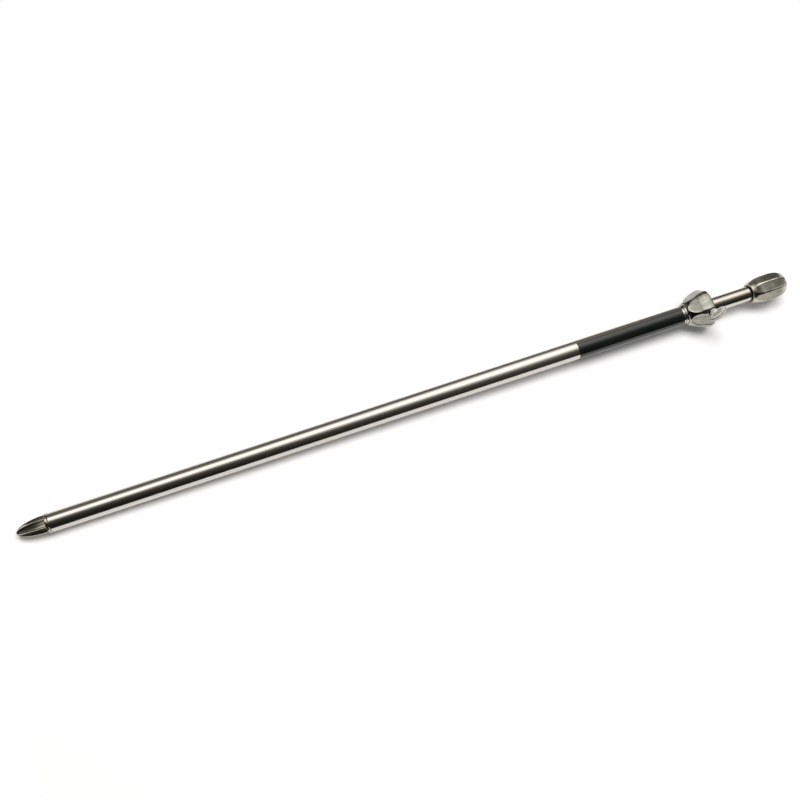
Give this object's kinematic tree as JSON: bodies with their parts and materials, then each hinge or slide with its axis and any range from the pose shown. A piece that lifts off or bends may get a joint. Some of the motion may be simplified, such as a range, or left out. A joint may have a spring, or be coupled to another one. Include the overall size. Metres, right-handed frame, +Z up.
{
  "type": "telescopic bank stick",
  "caption": "Telescopic steel bank stick with a ground point, a clamping collar with a thumbscrew, and a threaded head that takes a rod rest or bite alarm.",
  "frame": {"origin": "tip of the ground point, on the axis of the tubes", "axes": "+X along the stick from the ground point to the head, +Z up as the stick lies on a table, -Y towards the viewer of the picture"},
  "size_m": [0.665, 0.0372, 0.0443],
  "materials": {
    "satin_steel": "drawn stainless steel, satin",
    "polished_steel": "turned and polished stainless steel",
    "cast_steel": "cast stainless steel, tumbled to a soft satin",
    "black_steel": "blackened steel",
    "brass": "turned brass",
    "nylon": "natural nylon",
    "black_nylon": "black nylon",
    "rubber": "black rubber",
    "black_film": "glossy black printed film, bare"
  },
  "bodies": {
    "outer_stick": {"ground_point": "polished_steel", "point_stud": "satin_steel", "shoulder_ring": "polished_steel", "tube_plug": "cast_steel", "outer_tube": "satin_steel", "label_wrap": "black_film", "collar_neck_ring": "polished_steel", "collar_body": "cast_steel", "collar_grub_screw": "black_steel", "guide_bush": "black_nylon", "thread_insert": "brass"},
    "pad": {"pressure_pad": "nylon"},
    "thumbscrew": {"screw_shank": "satin_steel", "screw_paddle": "cast_steel"},
    "slider": {"slide_sleeve": "nylon"},
    "inner_stick": {"inner_tube": "polished_steel", "bottom_plug": "black_nylon", "plug_pin": "satin_steel", "stop_ring": "satin_steel", "buffer_ring": "rubber", "head_body": "cast_steel", "head_insert": "brass", "head_grub_screw": "black_steel"}
  },
  "joints": [
    {"name": "stick_slide", "type": "slide", "parent": "outer_stick", "child": "slider", "axis": [1, 0, 0], "range_m": [-0.036, 0.435]},
    {"name": "stick_turn", "type": "hinge", "parent": "slider", "child": "inner_stick", "pos_m": [0.3, 0, 0], "axis": [1, 0, 0], "continuous": true},
    {"name": "pad_travel", "type": "slide", "parent": "outer_stick", "child": "pad", "axis": [0, -0.5446, 0.8387], "range_m": [0, 0.00161]},
    {"name": "screw_turn", "type": "hinge", "parent": "pad", "child": "thumbscrew", "pos_m": [0.5913, 0, 0], "axis": [0, -0.5446, 0.8387], "range_deg": [0, 720]}
  ],
  "couplings": [
    {"joint": "pad_travel", "follows": "screw_turn", "m_per_rad": 0.00012732}
  ]
}
